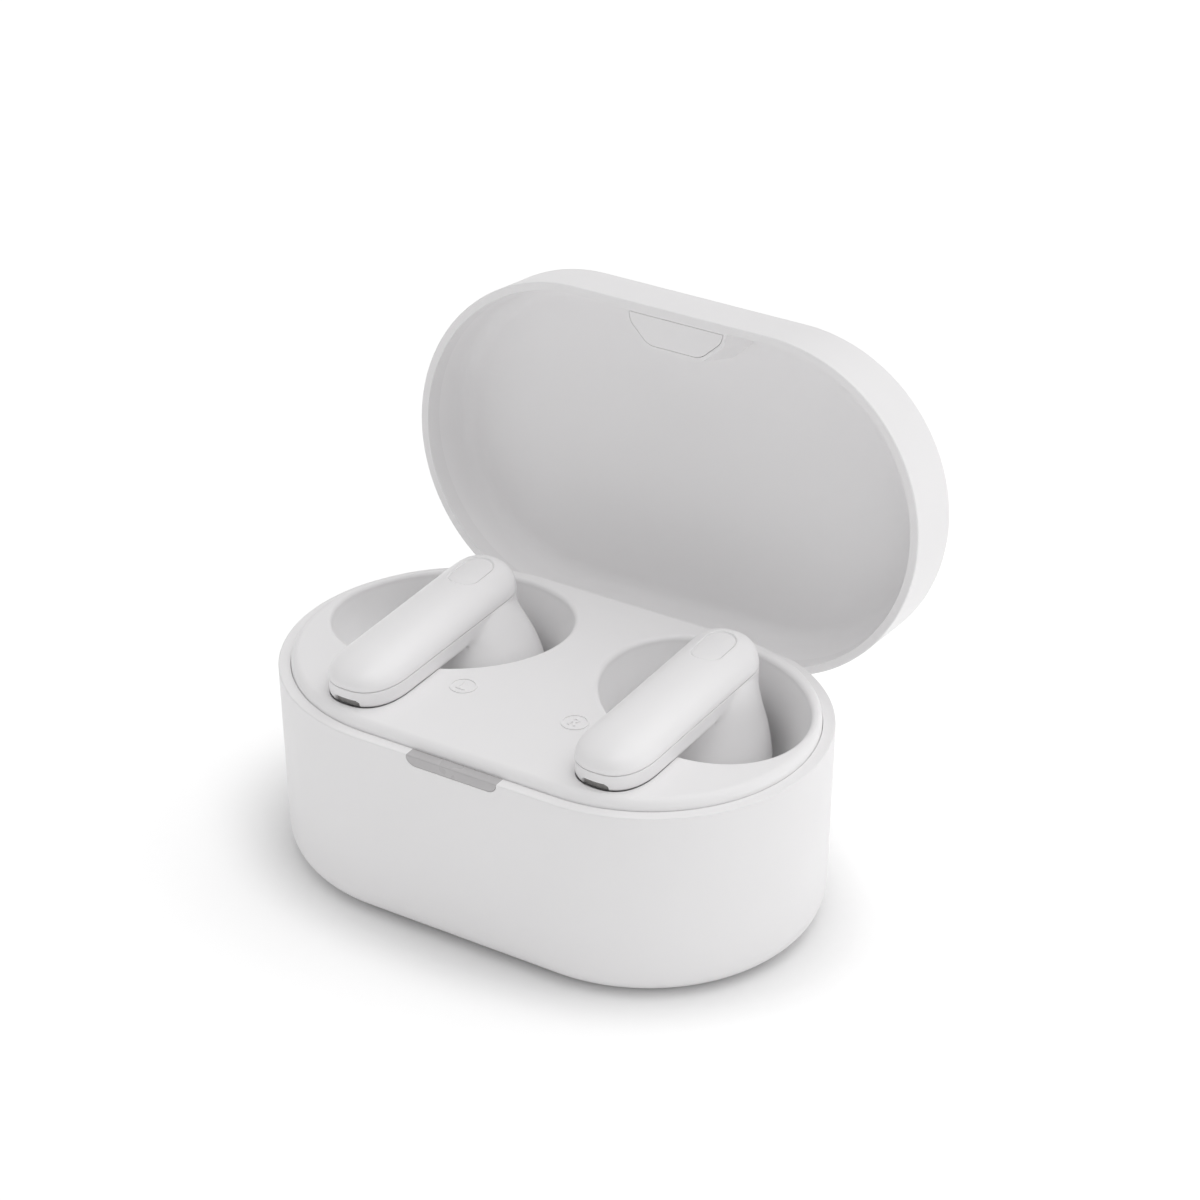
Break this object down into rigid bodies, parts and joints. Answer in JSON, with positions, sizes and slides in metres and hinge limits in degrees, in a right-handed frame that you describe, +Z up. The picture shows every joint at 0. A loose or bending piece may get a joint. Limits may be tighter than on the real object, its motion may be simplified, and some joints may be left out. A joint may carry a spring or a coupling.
{
  "type": "wireless earbuds case",
  "caption": "Pill-shaped charging case with a hinged lid, a well for each earbud, sprung charging pins and removable stemmed earbuds.",
  "frame": {"origin": "on the resting face, under the middle of the base", "axes": "+X along the case, -Y towards the status light, +Y towards the hinge, +Z up"},
  "size_m": [0.06, 0.0485, 0.0542],
  "materials": {
    "case_shell": "satin, finely textured white moulding",
    "tray_plastic": "satin white",
    "liner_plastic": "satin white",
    "earbud_plastic": "semi-gloss white",
    "touch_plastic": "semi-gloss white",
    "light_guide": "milky translucent grey",
    "foam": "closed-cell foam",
    "cell_wrap": "laminated pouch",
    "wire": "insulated wire",
    "circuit_board": "solder mask",
    "chip": "moulded package",
    "steel": "plain steel",
    "black_plastic": "moulded black",
    "led_body": "clear resin",
    "magnet": "nickel plated",
    "gold_contact": "gold plated",
    "flex": "polyimide film",
    "mesh": "woven mesh"
  },
  "bodies": {
    "base": {"base_shell": "case_shell", "tray": "tray_plastic", "led_light_guide": "light_guide", "battery_foam_pad": "foam", "battery_cell": "cell_wrap", "battery_leads": "wire", "main_board": "circuit_board", "board_chips": "chip", "board_screws": "steel", "usb_c_shell": "steel", "usb_c_tongue": "black_plastic", "status_led": "led_body", "hall_sensor": "chip", "base_lid_magnet": "magnet", "hinge_pin": "steel", "pogo_holder_left": "black_plastic", "pogo_barrels_left": "gold_contact", "pogo_flex_left": "flex", "earbud_hold_magnet_left": "magnet", "front_spring_left": "steel", "rear_spring_left": "steel", "pogo_holder_right": "black_plastic", "pogo_barrels_right": "gold_contact", "pogo_flex_right": "flex", "earbud_hold_magnet_right": "magnet", "front_spring_right": "steel", "rear_spring_right": "steel"},
    "lid": {"lid_shell": "case_shell", "lid_liner": "liner_plastic", "lid_magnet_cover": "liner_plastic", "lid_magnet": "magnet"},
    "earbud_left": {"earbud_shell_left": "earbud_plastic", "earbud_stem_cover_left": "earbud_plastic", "earbud_touch_inlay_left": "touch_plastic", "earbud_touch_sensor_left": "flex", "earbud_mic_mesh_left": "mesh", "earbud_speaker_grille_left": "steel", "earbud_speaker_driver_left": "black_plastic", "earbud_battery_left": "steel", "earbud_board_left": "circuit_board", "earbud_contacts_left": "gold_contact", "earbud_magnet_left": "magnet"},
    "front_pin_left": {"front_plunger_left": "gold_contact"},
    "rear_pin_left": {"rear_plunger_left": "gold_contact"},
    "earbud_right": {"earbud_shell_right": "earbud_plastic", "earbud_stem_cover_right": "earbud_plastic", "earbud_touch_inlay_right": "touch_plastic", "earbud_touch_sensor_right": "flex", "earbud_mic_mesh_right": "mesh", "earbud_speaker_grille_right": "steel", "earbud_speaker_driver_right": "black_plastic", "earbud_battery_right": "steel", "earbud_board_right": "circuit_board", "earbud_contacts_right": "gold_contact", "earbud_magnet_right": "magnet"},
    "front_pin_right": {"front_plunger_right": "gold_contact"},
    "rear_pin_right": {"rear_plunger_right": "gold_contact"}
  },
  "joints": [
    {"name": "lid_hinge", "type": "hinge", "parent": "base", "child": "lid", "pos_m": [0, 0.01683, 0.01935], "axis": [1, 0, 0], "range_deg": [0, 95.75]},
    {"name": "earbud_left_lift", "type": "slide", "parent": "base", "child": "earbud_left", "axis": [0, 0, 1], "range_m": [0, 0.024]},
    {"name": "earbud_right_lift", "type": "slide", "parent": "base", "child": "earbud_right", "axis": [0, 0, 1], "range_m": [0, 0.024]},
    {"name": "front_pin_left_press", "type": "slide", "parent": "base", "child": "front_pin_left", "axis": [0, 0, 1], "range_m": [-0.0006, 0], "stiffness_N_per_m": 60, "springref_m": 0.0008, "deforming": ["front_spring_left"]},
    {"name": "rear_pin_left_press", "type": "slide", "parent": "base", "child": "rear_pin_left", "axis": [0, 0, 1], "range_m": [-0.0006, 0], "stiffness_N_per_m": 60, "springref_m": 0.0008, "deforming": ["rear_spring_left"]},
    {"name": "front_pin_right_press", "type": "slide", "parent": "base", "child": "front_pin_right", "axis": [0, 0, 1], "range_m": [-0.0006, 0], "stiffness_N_per_m": 60, "springref_m": 0.0008, "deforming": ["front_spring_right"]},
    {"name": "rear_pin_right_press", "type": "slide", "parent": "base", "child": "rear_pin_right", "axis": [0, 0, 1], "range_m": [-0.0006, 0], "stiffness_N_per_m": 60, "springref_m": 0.0008, "deforming": ["rear_spring_right"]}
  ]
}
